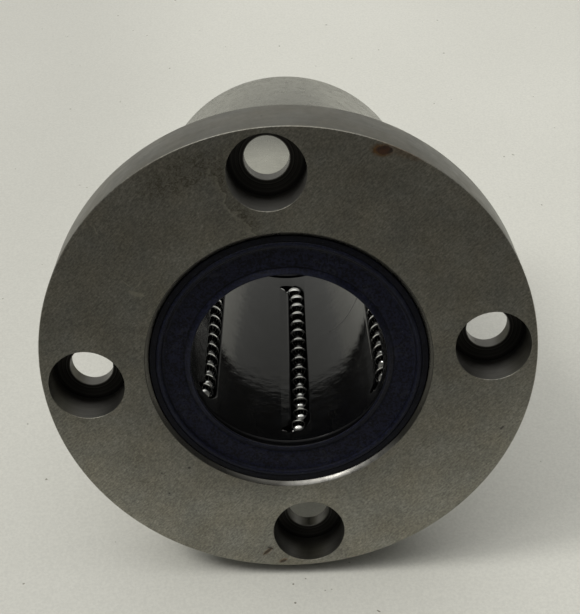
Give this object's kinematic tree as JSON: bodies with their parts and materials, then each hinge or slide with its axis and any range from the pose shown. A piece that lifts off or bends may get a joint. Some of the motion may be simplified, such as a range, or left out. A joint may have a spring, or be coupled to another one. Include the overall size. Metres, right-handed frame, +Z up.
{
  "type": "linear ball bushing",
  "caption": "Round-flanged linear ball bushing for a 25 mm shaft, with a barrel, screw pockets in the flange, recirculating ball rows in a black retainer and end seals.",
  "frame": {"origin": "centre of the bore in the plane of the flange's mounting face, which is its back face", "axes": "+Y along the bore, from the flange towards the end of the barrel; the front face with the screw pockets faces -Y; +Z up, through one screw hole; +X to the right seen from the front"},
  "size_m": [0.062, 0.058, 0.062],
  "materials": {
    "ground_steel": "fine ground hardened steel, oiled, with a trace of rust",
    "ring_steel": "stamped steel ring",
    "ball_steel": "polished bearing steel",
    "black_resin": "glossy moulded black resin, oiled",
    "seal_rubber": "satin blue-black moulded rubber"
  },
  "bodies": {
    "housing": {"flanged_sleeve": "ground_steel", "ball_retainer": "black_resin", "front_side_ring": "ring_steel", "front_seal_core": "ring_steel", "front_seal": "seal_rubber", "rear_side_ring": "ring_steel", "rear_seal_core": "ring_steel", "rear_seal": "seal_rubber"},
    "loaded_row_1": {"loaded_balls_1": "ball_steel"},
    "rear_turn_1": {"rear_turn_balls_1": "ball_steel"},
    "return_row_1": {"return_balls_1": "ball_steel"},
    "front_turn_1": {"front_turn_balls_1": "ball_steel"},
    "loaded_row_2": {"loaded_balls_2": "ball_steel"},
    "rear_turn_2": {"rear_turn_balls_2": "ball_steel"},
    "return_row_2": {"return_balls_2": "ball_steel"},
    "front_turn_2": {"front_turn_balls_2": "ball_steel"},
    "loaded_row_3": {"loaded_balls_3": "ball_steel"},
    "rear_turn_3": {"rear_turn_balls_3": "ball_steel"},
    "return_row_3": {"return_balls_3": "ball_steel"},
    "front_turn_3": {"front_turn_balls_3": "ball_steel"},
    "loaded_row_4": {"loaded_balls_4": "ball_steel"},
    "rear_turn_4": {"rear_turn_balls_4": "ball_steel"},
    "return_row_4": {"return_balls_4": "ball_steel"},
    "front_turn_4": {"front_turn_balls_4": "ball_steel"},
    "loaded_row_5": {"loaded_balls_5": "ball_steel"},
    "rear_turn_5": {"rear_turn_balls_5": "ball_steel"},
    "return_row_5": {"return_balls_5": "ball_steel"},
    "front_turn_5": {"front_turn_balls_5": "ball_steel"},
    "loaded_row_6": {"loaded_balls_6": "ball_steel"},
    "rear_turn_6": {"rear_turn_balls_6": "ball_steel"},
    "return_row_6": {"return_balls_6": "ball_steel"},
    "front_turn_6": {"front_turn_balls_6": "ball_steel"}
  },
  "joints": [
    {"name": "circuit_1_load", "type": "slide", "parent": "housing", "child": "loaded_row_1", "axis": [0, 1, 0], "range_m": [-0.00148, 0.00148]},
    {"name": "circuit_1_rear_turn", "type": "hinge", "parent": "housing", "child": "rear_turn_1", "pos_m": [-0.00252, 0.03928, -0.01433], "axis": [-0.1567, 0, 0.9876], "range_deg": [-30.1, 30.1]},
    {"name": "circuit_1_return", "type": "slide", "parent": "housing", "child": "return_row_1", "axis": [0, 1, 0], "range_m": [-0.00148, 0.00148]},
    {"name": "circuit_1_front_turn", "type": "hinge", "parent": "housing", "child": "front_turn_1", "pos_m": [-0.00252, 0.0008, -0.01433], "axis": [-0.1567, 0, 0.9876], "range_deg": [-30.1, 30.1]},
    {"name": "circuit_2_load", "type": "slide", "parent": "housing", "child": "loaded_row_2", "axis": [0, 1, 0], "range_m": [-0.00148, 0.00148]},
    {"name": "circuit_2_rear_turn", "type": "hinge", "parent": "housing", "child": "rear_turn_2", "pos_m": [0.01115, 0.03928, -0.00935], "axis": [-0.9337, 0, 0.3581], "range_deg": [-30.1, 30.1]},
    {"name": "circuit_2_return", "type": "slide", "parent": "housing", "child": "return_row_2", "axis": [0, 1, 0], "range_m": [-0.00148, 0.00148]},
    {"name": "circuit_2_front_turn", "type": "hinge", "parent": "housing", "child": "front_turn_2", "pos_m": [0.01115, 0.0008, -0.00935], "axis": [-0.9337, 0, 0.3581], "range_deg": [-30.1, 30.1]},
    {"name": "circuit_3_load", "type": "slide", "parent": "housing", "child": "loaded_row_3", "axis": [0, 1, 0], "range_m": [-0.00148, 0.00148]},
    {"name": "circuit_3_rear_turn", "type": "hinge", "parent": "housing", "child": "rear_turn_3", "pos_m": [0.01367, 0.03928, 0.00498], "axis": [-0.777, 0, -0.6295], "range_deg": [-30.1, 30.1]},
    {"name": "circuit_3_return", "type": "slide", "parent": "housing", "child": "return_row_3", "axis": [0, 1, 0], "range_m": [-0.00148, 0.00148]},
    {"name": "circuit_3_front_turn", "type": "hinge", "parent": "housing", "child": "front_turn_3", "pos_m": [0.01367, 0.0008, 0.00498], "axis": [-0.777, 0, -0.6295], "range_deg": [-30.1, 30.1]},
    {"name": "circuit_4_load", "type": "slide", "parent": "housing", "child": "loaded_row_4", "axis": [0, 1, 0], "range_m": [-0.00148, 0.00148]},
    {"name": "circuit_4_rear_turn", "type": "hinge", "parent": "housing", "child": "rear_turn_4", "pos_m": [0.00252, 0.03928, 0.01433], "axis": [0.1567, 0, -0.9876], "range_deg": [-30.1, 30.1]},
    {"name": "circuit_4_return", "type": "slide", "parent": "housing", "child": "return_row_4", "axis": [0, 1, 0], "range_m": [-0.00148, 0.00148]},
    {"name": "circuit_4_front_turn", "type": "hinge", "parent": "housing", "child": "front_turn_4", "pos_m": [0.00252, 0.0008, 0.01433], "axis": [0.1567, 0, -0.9876], "range_deg": [-30.1, 30.1]},
    {"name": "circuit_5_load", "type": "slide", "parent": "housing", "child": "loaded_row_5", "axis": [0, 1, 0], "range_m": [-0.00148, 0.00148]},
    {"name": "circuit_5_rear_turn", "type": "hinge", "parent": "housing", "child": "rear_turn_5", "pos_m": [-0.01115, 0.03928, 0.00935], "axis": [0.9337, 0, -0.3581], "range_deg": [-30.1, 30.1]},
    {"name": "circuit_5_return", "type": "slide", "parent": "housing", "child": "return_row_5", "axis": [0, 1, 0], "range_m": [-0.00148, 0.00148]},
    {"name": "circuit_5_front_turn", "type": "hinge", "parent": "housing", "child": "front_turn_5", "pos_m": [-0.01115, 0.0008, 0.00935], "axis": [0.9337, 0, -0.3581], "range_deg": [-30.1, 30.1]},
    {"name": "circuit_6_load", "type": "slide", "parent": "housing", "child": "loaded_row_6", "axis": [0, 1, 0], "range_m": [-0.00148, 0.00148]},
    {"name": "circuit_6_rear_turn", "type": "hinge", "parent": "housing", "child": "rear_turn_6", "pos_m": [-0.01367, 0.03928, -0.00498], "axis": [0.777, 0, 0.6295], "range_deg": [-30.1, 30.1]},
    {"name": "circuit_6_return", "type": "slide", "parent": "housing", "child": "return_row_6", "axis": [0, 1, 0], "range_m": [-0.00148, 0.00148]},
    {"name": "circuit_6_front_turn", "type": "hinge", "parent": "housing", "child": "front_turn_6", "pos_m": [-0.01367, 0.0008, -0.00498], "axis": [0.777, 0, 0.6295], "range_deg": [-30.1, 30.1]}
  ],
  "couplings": [
    {"joint": "circuit_1_rear_turn", "follows": "circuit_1_load", "rad_per_m": 353.78},
    {"joint": "circuit_1_return", "follows": "circuit_1_load", "ratio": -1},
    {"joint": "circuit_1_front_turn", "follows": "circuit_1_load", "rad_per_m": 353.78},
    {"joint": "circuit_2_rear_turn", "follows": "circuit_2_load", "rad_per_m": 353.78},
    {"joint": "circuit_2_return", "follows": "circuit_2_load", "ratio": -1},
    {"joint": "circuit_2_front_turn", "follows": "circuit_2_load", "rad_per_m": 353.78},
    {"joint": "circuit_3_rear_turn", "follows": "circuit_3_load", "rad_per_m": 353.78},
    {"joint": "circuit_3_return", "follows": "circuit_3_load", "ratio": -1},
    {"joint": "circuit_3_front_turn", "follows": "circuit_3_load", "rad_per_m": 353.78},
    {"joint": "circuit_4_rear_turn", "follows": "circuit_4_load", "rad_per_m": 353.78},
    {"joint": "circuit_4_return", "follows": "circuit_4_load", "ratio": -1},
    {"joint": "circuit_4_front_turn", "follows": "circuit_4_load", "rad_per_m": 353.78},
    {"joint": "circuit_5_rear_turn", "follows": "circuit_5_load", "rad_per_m": 353.78},
    {"joint": "circuit_5_return", "follows": "circuit_5_load", "ratio": -1},
    {"joint": "circuit_5_front_turn", "follows": "circuit_5_load", "rad_per_m": 353.78},
    {"joint": "circuit_6_rear_turn", "follows": "circuit_6_load", "rad_per_m": 353.78},
    {"joint": "circuit_6_return", "follows": "circuit_6_load", "ratio": -1},
    {"joint": "circuit_6_front_turn", "follows": "circuit_6_load", "rad_per_m": 353.78}
  ]
}
